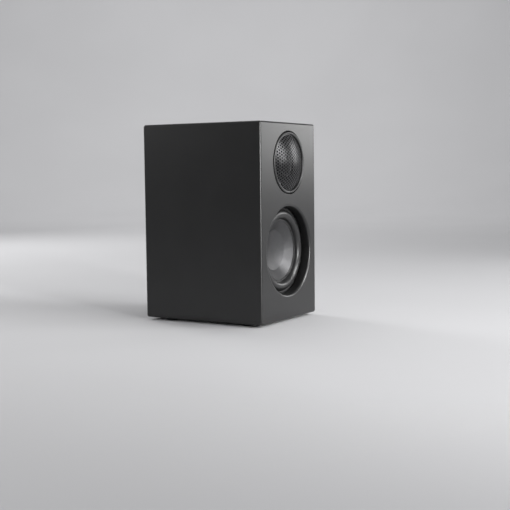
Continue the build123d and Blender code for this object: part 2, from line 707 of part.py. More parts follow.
def make_terminals():
    flange = cup_block(CUP_BORDER, CUP_BORDER / 2, BACK_FACE, CUP_FLANGE)
    shape = RectangleRounded(CUP_WIDTH, CUP_HEIGHT, CUP_CORNER)
    wide = RectangleRounded(CUP_WIDTH + 2 * CUP_WALL, CUP_HEIGHT + 2 * CUP_WALL, CUP_CORNER + CUP_WALL)
    hollow = extrude(cup_plane(cup_face) * shape, -CUP_DEPTH, taper=CUP_TAPER)
    dish = extrude(cup_plane(BACK_FACE) * wide, CUP_FLANGE - CUP_WALL - CUP_DEPTH, taper=CUP_TAPER)
    cup = flange + dish - hollow
    cup -= [pilot(x, z, BACK_FACE, cup_face, LOOSE_FIT) for x, z in cup_screw_places()]
    cup -= [
        turned(ring(0, STUD_RADIUS + LOOSE_FIT, cup_floor - 2 * CUP_WALL, cup_floor), TERMINAL_Z, x)
        for x in post_places.values()
    ]
    parts["terminal_cup"] = cup
    parts["terminal_screws"] = group(screw(x, z, cup_face, -1) for x, z in cup_screw_places())

    stud = outline(
        (0, stud_tail), (STUD_RADIUS, stud_tail), (STUD_RADIUS, stud_end),
        (BANANA_RADIUS, stud_end), (BANANA_RADIUS, stud_end - BANANA_DEPTH), (0, stud_end - BANANA_DEPTH),
    )
    wire_hole = Cylinder(WIRE_HOLE_RADIUS, 4 * STUD_RADIUS)
    hole_depth = collar_face + WIRE_HOLE_RADIUS + LOOSE_FIT
    studs = [
        turned(stud, TERMINAL_Z, x) - Pos(x, FRONT_Y + hole_depth, TERMINAL_Z) * wire_hole
        for x in post_places.values()
    ]
    parts["post_studs"] = group(studs)

    nut_shape = RegularPolygon(NUT_WIDTH / 2, 6, major_radius=False) - Circle(STUD_RADIUS + GLUE_LINE)
    tag_shape = Circle(TAG_RADIUS) + Pos(0, -TAG_REACH / 2) * Rectangle(TAB_WIDTH, TAG_REACH)
    tag_shape -= Circle(STUD_RADIUS + LOOSE_FIT)
    nuts = []
    tags = []
    for x in post_places.values():
        nuts.append(extrude(cup_plane(nut_seat) * Pos(-x, 0) * nut_shape, -NUT_THICKNESS))
        tags.append(extrude(cup_plane(nut_seat) * Pos(-x, 0) * tag_shape, TAG_SHEET))
    parts["post_nuts"] = group(nuts)
    parts["solder_tags"] = group(tags)

    collar = ring(STUD_RADIUS + GLUE_LINE, COLLAR_RADIUS, cup_floor, collar_face)
    insert = ring(
        STUD_RADIUS + LOOSE_FIT, STUD_RADIUS + LOOSE_FIT + INSERT_WALL, cap_base, cap_base + INSERT_LENGTH
    )
    cap = outline(
        (cap_bore, cap_base), (CAP_RADIUS, cap_base), (CAP_RADIUS, cap_end - 1), (CAP_RADIUS - 1, cap_end),
        (CAP_MOUTH_RADIUS, cap_end), (CAP_MOUTH_RADIUS, cap_end - CAP_END), (cap_bore, cap_end - CAP_END),
    )
    for colour, x in post_places.items():
        parts[f"{colour}_post_collar"] = turned(collar, TERMINAL_Z, x)
        parts[f"{colour}_cap_insert"] = turned(insert, TERMINAL_Z, x)
        flutes = [
            turned(ring(0, FLUTE_RADIUS, cap_base + 1, cap_end), z, x + dx)
            for dx, z in around(FLUTE_COUNT, CAP_RADIUS + FLUTE_RADIUS / 3, TERMINAL_Z, 0)
        ]
        parts[f"{colour}_post_cap"] = turned(cap, TERMINAL_Z, x) - flutes


def make_crossover():
    board_base = INNER_FLOOR + BOARD_RAISE
    board_top = board_base + BOARD_SHEET
    board_middle = BOARD_SETBACK + BOARD_DEPTH / 2
    board = block(0, BOARD_SETBACK, board_base + BOARD_SHEET / 2, BOARD_WIDTH, BOARD_DEPTH, BOARD_SHEET)
    neck = BOARD_POST_RADIUS / 2
    post = outline(
        (0, 0), (BOARD_POST_RADIUS, 0), (BOARD_POST_RADIUS, BOARD_RAISE), (neck, BOARD_RAISE),
        (neck, BOARD_RAISE + BOARD_SHEET), (neck + 0.8, BOARD_RAISE + BOARD_SHEET),
        (neck - 0.5, BOARD_RAISE + BOARD_SHEET + 2), (0, BOARD_RAISE + BOARD_SHEET + 2),
    )
    post_hole = ring(0, neck + LOOSE_FIT, 0, BOARD_SHEET)
    post_x = BOARD_WIDTH / 2 - BOARD_POST_INSET
    post_d = BOARD_DEPTH / 2 - BOARD_POST_SETBACK
    spots = [(sx * post_x, board_middle + sd * post_d) for sx in (-1, 1) for sd in (-1, 1)]
    board -= [upright(post_hole, x, depth, board_base) for x, depth in spots]
    parts["crossover_board"] = board
    parts["board_posts"] = group(upright(post, x, depth, INNER_FLOOR) for x, depth in spots)

    coil_depth = board_middle - COIL_OFFSET
    gap = RESISTOR_WIDTH / 2 + COMPONENT_GAP
    bobbins = []
    windings = []
    for side, radius, height in (
        (-1, LARGE_COIL_RADIUS, LARGE_COIL_HEIGHT), (1, SMALL_COIL_RADIUS, SMALL_COIL_HEIGHT),
    ):
        spool = outline(
            (0, 0), (radius, 0), (radius, COIL_FLANGE), (COIL_CORE_RADIUS, COIL_FLANGE),
            (COIL_CORE_RADIUS, height - COIL_FLANGE), (radius, height - COIL_FLANGE),
            (radius, height), (0, height),
        )
        winding = ring(COIL_CORE_RADIUS + GLUE_LINE, radius - 1.5, COIL_FLANGE, height - COIL_FLANGE)
        bobbins.append(upright(spool, side * (gap + radius), coil_depth, board_top))
        windings.append(upright(winding, side * (gap + radius), coil_depth, board_top))
    parts["inductor_bobbins"] = group(bobbins)
    parts["inductor_windings"] = group(windings)

    can_depth = BOARD_SETBACK + BOARD_DEPTH - CAPACITOR_MARGIN - CAPACITOR_RADIUS
    can_middle = (POST_SPACING / 2 + post_x) / 2
    for name, side, length in (
        ("film_capacitor", -1, FILM_LENGTH), ("electrolytic_capacitor", 1, ELECTROLYTIC_LENGTH),
    ):
        can = Rot(Y=90) * Cylinder(CAPACITOR_RADIUS, length)
        parts[name] = Pos(side * can_middle, FRONT_Y + can_depth, board_top + CAPACITOR_RADIUS) * can
    parts["cement_resistor"] = block(
        0, board_middle - RESISTOR_LENGTH / 2, board_top + RESISTOR_WIDTH / 2,
        RESISTOR_WIDTH, RESISTOR_LENGTH, RESISTOR_WIDTH,
    )
    make_leads(board_top)


def lead(points):
    path = FilletPolyline(*[(x, FRONT_Y + depth, z) for x, depth, z in points], radius=LEAD_BEND)
    start = Plane(path @ 0, z_dir=path % 0)
    return sweep(start * Circle(LEAD_RADIUS), path)


def make_leads(board_top):
    tag_end = TERMINAL_Z - TAG_REACH + LEAD_RADIUS + LOOSE_FIT
    drop = yoke_back + LEAD_CLEARANCE
    loop = nut_seat - TAG_LEAD_RUN
    side_drop = drop - TWEETER_LEAD_STEP
    tab_back = strip_front() + STRIP_SHEET + TAB_LENGTH
    side_run = WOOFER_MAGNET_RADIUS - LEAD_RADIUS
    chamber_tab = CHAMBER_RADIUS + TAB_SHEET / 2
    tweeter_tab = tweeter_tab_front() + TAB_LENGTH
    for colour, side in (("black", -1), ("red", 1)):
        x = side * POST_SPACING / 2
        to_board = [(x, nut_seat, tag_end), (x, loop, tag_end), (x, loop, board_top)]
        x = side * WOOFER_TAB_OFFSET
        tab_z = woofer_tab_height()
        to_woofer = [(x, tab_back, tab_z), (x, drop, tab_z), (x, drop, board_top)]
        to_tweeter = [
            (side * chamber_tab, tweeter_tab, TWEETER_Z),
            (side * chamber_tab, tweeter_tab + TWEETER_LEAD_RUN, TWEETER_Z),
            (side * side_run, side_drop, TWEETER_Z - TWEETER_LEAD_DROP),
            (side * side_run, side_drop, board_top),
        ]
        parts[f"{colour}_leads"] = group(lead(p) for p in (to_board, to_woofer, to_tweeter))


make_cabinet()
make_woofer()
make_tweeter()
make_tabs()
make_port()
make_terminals()
make_crossover()

os.makedirs("parts", exist_ok=True)
for name, shape in parts.items():
    export_step(shape, f"parts/{name}.step")
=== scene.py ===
import json
import math

import bmesh
import bpy
import numpy as np
from mathutils import Matrix, Quaternion, Vector, noise
from mathutils.geometry import delaunay_2d_cdt


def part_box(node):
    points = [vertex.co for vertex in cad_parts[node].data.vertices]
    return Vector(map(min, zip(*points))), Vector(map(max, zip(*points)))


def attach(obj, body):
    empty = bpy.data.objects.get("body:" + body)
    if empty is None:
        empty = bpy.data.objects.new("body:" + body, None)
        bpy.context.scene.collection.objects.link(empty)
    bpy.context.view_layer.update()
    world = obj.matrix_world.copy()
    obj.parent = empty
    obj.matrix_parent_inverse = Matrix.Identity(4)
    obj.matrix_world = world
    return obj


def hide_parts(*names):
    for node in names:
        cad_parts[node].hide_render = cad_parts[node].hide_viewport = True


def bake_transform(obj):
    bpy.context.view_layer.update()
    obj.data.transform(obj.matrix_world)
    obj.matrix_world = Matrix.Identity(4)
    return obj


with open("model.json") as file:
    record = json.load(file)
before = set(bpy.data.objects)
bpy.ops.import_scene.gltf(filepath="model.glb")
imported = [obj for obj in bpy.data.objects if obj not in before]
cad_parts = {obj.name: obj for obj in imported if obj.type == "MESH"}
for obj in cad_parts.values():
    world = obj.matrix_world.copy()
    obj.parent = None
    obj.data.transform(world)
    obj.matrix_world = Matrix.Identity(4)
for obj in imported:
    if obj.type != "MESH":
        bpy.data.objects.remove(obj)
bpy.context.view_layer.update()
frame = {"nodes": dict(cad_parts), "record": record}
nodes = frame["nodes"]
scene = bpy.context.scene

# Places are in metres. Turned profiles are in mm, as (radius, depth behind the front plane).
MM = 0.001
ROOT = "cabinet"
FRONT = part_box("front_panel")[0].y
CABINET_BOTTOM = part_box("front_panel")[0].z
WOOFER_Z = sum(c.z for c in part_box("woofer_cone")) / 2
TWEETER_Z = sum(c.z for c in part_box("tweeter_dome")) / 2
GLUE_LINE = 0.06
POLE_RADIUS = 0.02


# Materials

class Shader:
    """A Principled material whose detail comes from procedural textures in object space."""

    def __init__(self, name, colour, roughness, metallic=0.0, **sockets):
        self.material = bpy.data.materials.new(name)
        self.material.use_nodes = True
        self.tree = self.material.node_tree
        self.shader = self.tree.nodes["Principled BSDF"]
        self.colour = (*colour, 1.0)
        self.roughness = roughness
        self.height = None
        self.shader.inputs["Base Color"].default_value = self.colour
        self.shader.inputs["Roughness"].default_value = roughness
        self.shader.inputs["Metallic"].default_value = metallic
        for socket, value in sockets.items():
            self.shader.inputs[socket.replace("_", " ")].default_value = value
        self.place = self.tree.nodes.new("ShaderNodeTexCoord").outputs["Object"]

    def new(self, kind, **settings):
        """Add a texture or converter node."""
        node = self.tree.nodes.new(kind)
        for key, value in settings.items():
            setattr(node, key, value)
        return node

    def link(self, source, target):
        self.tree.links.new(source, target)

    def stretched(self, scale):
        """Object coordinates scaled differently along each axis."""
        mapping = self.new("ShaderNodeMapping")
        mapping.inputs["Scale"].default_value = scale
        self.link(self.place, mapping.inputs["Vector"])
        return mapping.outputs["Vector"]

    def noise(self, size, detail=2.0, place=None, roughness=0.5):
        """Noise from 0 to 1 whose features are about size metres across."""
        node = self.new("ShaderNodeTexNoise")
        node.inputs["Scale"].default_value = 1.0 / size
        node.inputs["Detail"].default_value = detail
        node.inputs["Roughness"].default_value = roughness
        self.link(place or self.place, node.inputs["Vector"])
        return node.outputs["Fac"]

    def wave(self, pitch, **kind):
        """Rings or bands from 0 to 1, pitch metres apart."""
        pitch_at_scale_one = math.pi / 10
        node = self.new("ShaderNodeTexWave", wave_profile="SIN", **kind)
        node.inputs["Scale"].default_value = pitch_at_scale_one / pitch
        self.link(self.place, node.inputs["Vector"])
        return node.outputs["Fac"]

    def rings(self, pitch):
        """Rings about a front-to-back axis."""
        return self.wave(pitch, wave_type="RINGS", rings_direction="Y")

    def bands(self, pitch, direction):
        """Straight bands that follow each other along an axis."""
        return self.wave(pitch, wave_type="BANDS", bands_direction=direction)

    def ranged(self, value, low, high, start=0.3, end=0.7):
        """Carry the range from start to end over to the range from low to high."""
        node = self.new("ShaderNodeMapRange")
        for socket, number in zip(("From Min", "From Max", "To Min", "To Max"), (start, end, low, high)):
            node.inputs[socket].default_value = number
        self.link(value, node.inputs["Value"])
        return node.outputs["Result"]

    def weave(self, pitch):
        """Crossed bands of a plain weave."""
        node = self.new("ShaderNodeMath", operation="MAXIMUM")
        for socket, direction in zip(node.inputs, "XZ"):
            self.link(self.bands(pitch, direction), socket)
        return node.outputs["Value"]

    def tint(self, value, other):
        """Mix the base colour towards another one where value is high."""
        node = self.new("ShaderNodeMix", data_type="RGBA")
        node.inputs[6].default_value = self.colour
        node.inputs[7].default_value = (*other, 1.0)
        self.link(value, node.inputs["Factor"])
        self.link(node.outputs[2], self.shader.inputs["Base Color"])
        return self

    def gloss(self, value, spread):
        """Let the roughness waver about its value."""
        low, high = self.roughness - spread, self.roughness + spread
        self.link(self.ranged(value, low, high), self.shader.inputs["Roughness"])
        return self

    def bump(self, value, height):
        """Raise the surface by up to height metres."""
        node = self.new("ShaderNodeBump")
        node.inputs["Strength"].default_value = 1.0
        node.inputs["Distance"].default_value = height
        self.link(value, node.inputs["Height"])
        if self.height is not None:
            self.link(self.height, node.inputs["Normal"])
        self.height = node.outputs["Normal"]
        self.link(self.height, self.shader.inputs["Normal"])
        return self


def shade(value):
    """Nearly neutral grey."""
    return (value, value, value * 1.03)


def lacquer():
    """Satin black lacquer with a faint orange peel."""
    s = Shader("satin_black_lacquer", shade(0.005), 0.33, Specular_IOR_Level=0.62)
    s.tint(s.ranged(s.noise(0.03, 3.0), 0.0, 1.0), shade(0.007))
    s.gloss(s.noise(0.003, 4.0), 0.008)
    return s.bump(s.noise(0.0011, 1.0), 0.0000025).material


def moulded(name, colour, roughness, grain=0.0006, height=0.000012):
    """Plastic or paint with a fine grain."""
    s = Shader(name, colour, roughness)
    s.tint(s.ranged(s.noise(0.01, 3.0), 0.0, 1.0), tuple(c * 1.35 for c in colour))
    s.gloss(s.noise(0.004, 3.0), 0.05)
    return s.bump(s.noise(grain, 2.0), height).material


def bezel_with_painted_well_shade():
    """Satin black moulding with painted shade inside the well behind the grille, where it also turns dull.
    """
    well_starts, well_is_full = FRONT + 0.0001, FRONT + 0.0006
    s = Shader("bezel_moulding_with_painted_well_shade", shade(0.009), 0.36)
    depth = s.new("ShaderNodeSeparateXYZ")
    s.link(s.place, depth.inputs["Vector"])
    inside = s.ranged(depth.outputs["Y"], 0.0, 1.0, well_starts, well_is_full)
    # Painted shade: the colour turns darker inside the well behind the grille, where shade falls. The lower
    # specular level there darkens it further.
    s.tint(inside, shade(0.003))
    for socket, outer, inner in (("Roughness", s.roughness, 0.95), ("Specular IOR Level", 0.5, 0.08)):
        s.link(s.ranged(inside, outer, inner, 0.0, 1.0), s.shader.inputs[socket])
    return s.bump(s.noise(0.0006, 2.0), 0.000004).material


def rubber(name, value, roughness):
    """Dark rubber or foam with a matt grain."""
    s = Shader(name, shade(value), roughness)
    s.tint(s.ranged(s.noise(0.006, 4.0), 0.0, 1.0), shade(value * 1.5))
    s.gloss(s.noise(0.003, 4.0), 0.06)
    return s.bump(s.noise(0.0004, 3.0), 0.000008).material


def coated_cone():
    """Smooth cone skin with a grey metallic coat."""
    s = Shader("coated_cone", shade(0.07), 0.44, 0.8)
    s.tint(s.ranged(s.noise(0.004, 5.0), 0.0, 1.0), shade(0.08))
    s.gloss(s.noise(0.002, 4.0), 0.02)
    return s.bump(s.noise(0.0005, 3.0), 0.000006).material


def painted_mesh():
    """Perforated sheet under a thin dark paint."""
    s = Shader("painted_mesh", shade(0.05), 0.3, 0.95)
    s.tint(s.ranged(s.noise(0.006, 4.0), 0.0, 1.0), shade(0.06))
    s.gloss(s.noise(0.004, 3.0), 0.03)
    return s.bump(s.noise(0.0008, 1.0), 0.000002).material


def coated_dome():
    """Woven dome skin under a clear glossy coat."""
    s = Shader(
        "coated_dome", shade(0.006), 0.5,
        Specular_IOR_Level=0.05, Coat_Weight=0.7, Coat_Roughness=0.16, Coat_IOR=1.45,
    )
    weave = s.weave(0.00045)
    s.tint(weave, shade(0.012))
    s.gloss(s.noise(0.002, 3.0), 0.05)
    return s.bump(weave, 0.00002).material


def cloth(name, colour, pitch, roughness=0.85):
    """Fine plain weave with a little unevenness."""
    s = Shader(name, colour, roughness, Sheen_Weight=0.25, Sheen_Roughness=0.4)
    weave = s.weave(pitch)
    s.tint(weave, tuple(c * 1.6 for c in colour))
    s.gloss(s.noise(0.002, 3.0), 0.05)
    s.bump(s.noise(0.002, 3.0), 0.00003)
    return s.bump(weave, pitch * 0.12).material


def felt():
    """Grey felt with fibres that lie along the walls."""
    s = Shader("grey_felt", (0.3, 0.3, 0.32), 0.95, Sheen_Weight=0.4, Sheen_Roughness=0.6)
    fibres = s.noise(0.0012, 6.0, s.stretched((1.0, 3.0, 1.0)), 0.75)
    s.tint(s.ranged(fibres, 0.0, 1.0), (0.16, 0.16, 0.18))
    s.gloss(s.noise(0.004, 3.0), 0.03)
    return s.bump(fibres, 0.0006).material


def turned_metal(name, colour, roughness, pitch=0.0004):
    """Machined metal with fine turning rings about a front-to-back axis."""
    s = Shader(name, colour, roughness, 1.0)
    s.tint(s.ranged(s.noise(0.006, 4.0), 0.0, 1.0), tuple(c * 0.82 for c in colour))
    s.gloss(s.noise(0.003, 4.0), 0.06)
    return s.bump(s.rings(pitch), 0.000004).material


def wound_wire(name, colour, pitch):
    """Enamelled wire laid turn by turn."""
    s = Shader(name, colour, 0.3, 1.0)
    turns = s.bands(pitch, "Z")
    s.tint(turns, tuple(c * 0.55 for c in colour))
    s.gloss(s.noise(0.002, 3.0), 0.05)
    return s.bump(turns, pitch * 0.3).material


def fibreboard():
    """Raw board with short brown fibres."""
    s = Shader("raw_fibreboard", (0.42, 0.3, 0.19), 0.8)
    s.tint(s.ranged(s.noise(0.0009, 6.0, None, 0.7), 0.0, 1.0), (0.3, 0.2, 0.12))
    s.gloss(s.noise(0.003, 3.0), 0.05)
    return s.bump(s.noise(0.0006, 5.0), 0.00004).material


def ferrite():
    """Dull grey ceramic magnet."""
    s = Shader("ferrite", shade(0.05), 0.55)
    s.tint(s.ranged(s.noise(0.002, 6.0), 0.0, 1.0), shade(0.085))
    s.gloss(s.noise(0.004, 4.0), 0.08)
    return s.bump(s.noise(0.0012, 5.0), 0.00003).material


MATERIALS = {
    "cabinet_lacquer": lacquer(),
    "raw_board": fibreboard(),
    "foot_rubber": rubber("foot_rubber", 0.02, 0.62),
    "felt": felt(),
    "basket_paint": moulded("basket_paint", shade(0.018), 0.45, 0.0008, 0.00001),
    "gasket_foam": rubber("gasket_foam", 0.014, 0.7),
    "surround_rubber": rubber("surround_rubber", 0.009, 0.33),
    "cone_coating": coated_cone(),
    "former_film": moulded("former_film", (0.42, 0.2, 0.05), 0.35),
    "copper_winding": wound_wire("copper_winding", (0.72, 0.33, 0.16), 0.0006),
    "spider_cloth": cloth("spider_cloth", (0.42, 0.29, 0.1), 0.0009),
    "motor_steel": turned_metal("motor_steel", (0.52, 0.52, 0.53), 0.32),
    "ferrite": ferrite(),
    "strip_board": moulded("strip_board", (0.26, 0.13, 0.05), 0.55),
    "tab_metal": turned_metal("tab_metal", (0.72, 0.62, 0.4), 0.3),
    "screw_steel": turned_metal("screw_steel", (0.06, 0.06, 0.065), 0.38),
    "faceplate_plastic": bezel_with_painted_well_shade(),
    "grille_metal": painted_mesh(),
    "dome_cloth": coated_dome(),
    "back_plastic": moulded("back_moulding", shade(0.02), 0.5, 0.0009, 0.00003),
    "post_metal": turned_metal("post_metal", (0.78, 0.58, 0.24), 0.22),
    "red_plastic": moulded("red_moulding", (0.42, 0.012, 0.012), 0.3, 0.001, 0.000004),
    "black_plastic": moulded("cap_moulding", shade(0.018), 0.3, 0.001, 0.000004),
    "circuit_board": moulded("circuit_board", (0.06, 0.2, 0.07), 0.4, 0.0015, 0.00002),
    "nylon": moulded("nylon", (0.72, 0.71, 0.66), 0.45),
    "film_wrap": moulded("film_wrap", (0.6, 0.38, 0.04), 0.3),
    "can_sleeve": moulded("can_sleeve", (0.03, 0.04, 0.13), 0.3),
    "cement": moulded("cement", (0.7, 0.68, 0.62), 0.85, 0.0008, 0.00006),
    "red_insulation": moulded("red_insulation", (0.42, 0.02, 0.02), 0.45),
    "black_insulation": moulded("black_insulation", shade(0.02), 0.45),
}
SLOT_OF = {s["node"]: s["material_slot"] for s in frame["record"]["subparts"]}
for name, node in nodes.items():
    node.data.materials.clear()
    node.data.materials.append(MATERIALS[SLOT_OF[name]])


# Meshes

def finish_mesh(name, verts, faces, slot, sharp=35.0):
    """Object with outward normals, smooth faces and edges that are sharp past an angle in degrees."""
    mesh = bpy.data.meshes.new(name)
    mesh.from_pydata(verts, [], faces)
    mesh.validate()
    form = bmesh.new()
    form.from_mesh(mesh)
    bmesh.ops.recalc_face_normals(form, faces=form.faces[:])
    form.to_mesh(mesh)
    form.free()
    mesh.polygons.foreach_set("use_smooth", [True] * len(mesh.polygons))
    mesh.set_sharp_from_angle(angle=math.radians(sharp))
    mesh.materials.append(MATERIALS[slot])
    piece = bpy.data.objects.new(name, mesh)
    scene.collection.objects.link(piece)
    return piece


def arc(centre, radius, start, end, count):
    """Points of a profile arc, angles in degrees from the outward direction towards the back."""
    angles = [math.radians(start + (end - start) * i / count) for i in range(count + 1)]
    return [(centre[0] + radius * math.cos(a), centre[1] + radius * math.sin(a)) for a in angles]


def lathe(name, profile, height, slot, steps=160, sharp=35.0):
    """Turn a closed profile about a front-to-back axis at a height."""
    count = len(profile)
    verts = []
    for i in range(steps):
        c, s = math.cos(2 * math.pi * i / steps), math.sin(2 * math.pi * i / steps)
        verts += [(r * MM * c, FRONT + d * MM, height + r * MM * s) for r, d in profile]
    faces = []
    for i in range(steps):
        k = (i + 1) % steps
        for j in range(count):
            n = (j + 1) % count
            faces.append((i * count + j, i * count + n, k * count + n, k * count + j))
    return finish_mesh(name, verts, faces, slot, sharp)


def shell_profile(line, thickness):
    """Closed profile of a thin skin whose front follows an open line from the rim inwards."""
    back = []
    for i, point in enumerate(line):
        before, after = line[max(i - 1, 0)], line[min(i + 1, len(line) - 1)]
        along = Vector((after[0] - before[0], after[1] - before[1])).normalized()
        back.append((point[0] + along.y * thickness, point[1] - along.x * thickness))
    return list(line) + back[::-1]


def depth_of(node, end):
    """Front (0) or back (1) of a CAD node, in mm behind the front plane."""
    return (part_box(node)[end].y - FRONT) / MM


def radius_of(node):
    """Half the width of a CAD node, in mm."""
    low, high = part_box(node)
    return (high.x - low.x) / 2 / MM


def eased(share):
    """Smooth step from 0 to 1."""
    return share * share * (3 - 2 * share)


def radial_blend(piece):
    """Bake the ring's transform into its mesh; nothing bends it between the cabinet and a moving body."""
    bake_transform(piece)


def make_woofer_surround():
    """Half-roll rubber with small fillets into its two flat landings."""
    skin, fillet, lip, lap, cone_gap = 0.6, 0.5, 0.3, 2.2, 0.2
    cone, outer = radius_of("woofer_cone"), radius_of("woofer_surround")
    inner = cone - lap
    back = depth_of("woofer_surround", 1)
    base = back - skin
    roll = base - depth_of("woofer_surround", 0)
    middle = cone + cone_gap + roll
    across = math.degrees(math.asin(fillet / (roll + fillet)))
    reach = (roll + fillet) * math.cos(math.radians(across))
    profile = [(outer, base)]
    profile += arc((middle + reach, base - fillet), fillet, 90, 180 - across, 5)
    profile += arc((middle, base), roll, -across, across - 180, 44)[1:-1]
    profile += arc((middle - reach, base - fillet), fillet, across, 90, 5)
    profile += arc((inner + lip, base + lip), lip, -90, -180, 4)
    profile += [(inner, back), (middle - roll + skin, back)]
    profile += arc((middle, base), roll - skin, -180, 0, 32)
    profile += [(middle + roll - skin, back), (outer, back)]
    piece = lathe("woofer_surround_roll", profile, WOOFER_Z, "surround_rubber", 192, 40)
    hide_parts("woofer_surround")
    radial_blend(piece)


def cushion(inner, outer, front, back, edge):
    """Section of a soft ring with rounded edges."""
    points = []
    for x, d, start in (
        (outer - edge, front + edge, -90), (outer - edge, back - edge, 0),
        (inner + edge, back - edge, 90), (inner + edge, front + edge, 180),
    ):
        points += arc((x, d), edge, start, start + 90, 4)
    return points


def make_gasket(node, width, edge, steps):
    """Foam ring before or behind the woofer's flange."""
    outer = radius_of(node)
    section = cushion(outer - width, outer, depth_of(node, 0), depth_of(node, 1), edge)
    piece = lathe(f"{node}_foam", section, WOOFER_Z, "gasket_foam", steps)
    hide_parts(node)
    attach(piece, ROOT)


def make_dust_cap():
    """Sunken dish at the middle of the cone."""
    rim, back = depth_of("woofer_dust_cap", 0), depth_of("woofer_dust_cap", 1)
    radius, skin = radius_of("woofer_dust_cap"), 0.5
    sink = back - skin - rim
    ball = (radius**2 + sink**2) / (2 * sink)
    half = math.degrees(math.asin(radius / ball))
    line = arc((0.0, back - skin - ball), ball, 90 - half, 90, 32)
    line[-1] = (POLE_RADIUS, line[-1][1])
    piece = lathe("woofer_dust_cap_dish", shell_profile(line, skin), WOOFER_Z, "cone_coating", 160, 60)
    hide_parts("woofer_dust_cap")
    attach(piece, "woofer_moving")


def make_spider():
    """Corrugated cloth disc between the basket's step and the coil former."""
    skin, wave, steps = 0.45, 2.4, 10
    outer_landing, inner_landing, grip = 5.5, 1.5, 1.0
    outer, inner = radius_of("woofer_spider"), radius_of("woofer_former") + GLUE_LINE
    middle = (depth_of("woofer_spider", 0) + depth_of("woofer_spider", 1) - skin) / 2
    start = outer - outer_landing
    count = int((start - inner - inner_landing) / wave)
    line = [(outer, middle)]
    for i in range(count * steps + 1):
        swing = math.sin(math.pi * i / steps)
        line.append((start - i * wave / steps, middle + swing * wave / 3))
    line.append((inner, middle))
    piece = lathe("woofer_spider_cloth", shell_profile(line, skin), WOOFER_Z, "spider_cloth", 128, 50)
    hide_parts("woofer_spider")
    radial_blend(piece)


def make_tweeter_dome(skin, front):
    """Soft dome over the tweeter's coil."""
    radius, solid_skin = radius_of("tweeter_dome"), 0.3
    rise = depth_of("tweeter_dome", 1) - depth_of("tweeter_dome", 0) - solid_skin
    ball = (radius**2 + rise**2) / (2 * rise)
    half = math.degrees(math.asin(radius / ball))
    line = arc((0.0, front - rise + ball), ball, half - 90, -90, 24)
    line[-1] = (POLE_RADIUS, line[-1][1])
    piece = lathe("tweeter_dome_cloth", shell_profile(line, skin), TWEETER_Z, "dome_cloth", 128, 60)
    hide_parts("tweeter_dome")
    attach(piece, "tweeter_moving")


def make_tweeter_roll(skin, front):
    """Narrow roll around the dome, with its glued landing."""
    throat, throat_edge, height, grip, steps = 15.8, 0.05, 1.2, 0.3, 20
    start = radius_of("tweeter_dome") + GLUE_LINE
    middle, half = (start + throat) / 2, (throat - start) / 2
    line = [(radius_of("tweeter_surround"), front), (throat + throat_edge, front)]
    for i in range(1, steps):
        angle = math.pi * i / steps
        line.append((middle + half * math.cos(angle), front - height * math.sin(angle)))
    line.append((start, front))
    piece = lathe("tweeter_roll_cloth", shell_profile(line, skin), TWEETER_Z, "dome_cloth", 128, 60)
    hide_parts("tweeter_surround")
    radial_blend(piece)


def make_tweeter_diaphragm():
    """Dome and roll of one thin cloth."""
    skin = 0.28
    front = depth_of("tweeter_dome", 1) - skin
    make_tweeter_dome(skin, front)
    make_tweeter_roll(skin, front)


def hole_places(reach, pitch):
    """Middles of the holes, in staggered columns."""
    column = pitch * math.sqrt(3) / 2
    count = int(reach / column) + 1
    places = [
        (i * column, (j + i % 2 / 2) * pitch)
        for i in range(-count, count + 1)
        for j in range(-count, count + 1)
    ]
    return [p for p in places if math.hypot(*p) < reach]


def round_loop(x, z, radius, count):
    """Points evenly round a circle."""
    turns = [2 * math.pi * (k + 0.5) / count for k in range(count)]
    return [(x + radius * math.cos(a), z + radius * math.sin(a)) for a in turns]


def cut_loop(x, z, radius, reach, count):
    """Edge of a hole, cut off by a border circle: rays from inside the hole meet the nearer of the two."""
    hole = Vector((x, z))
    past_border = max(hole.length + radius - reach, 0)
    middle = hole - hole.normalized() * past_border / 2

    def way_to_circle(centre, size, ray):
        offset = middle - centre
        slant = offset.dot(ray)
        return math.sqrt(slant**2 - offset.length_squared + size**2) - slant

    loop = []
    for ray in map(Vector, round_loop(0, 0, 1, count)):
        way = min(way_to_circle(hole, radius, ray), way_to_circle(Vector((0, 0)), reach, ray))
        loop.append(tuple(middle + ray * way))
    return loop


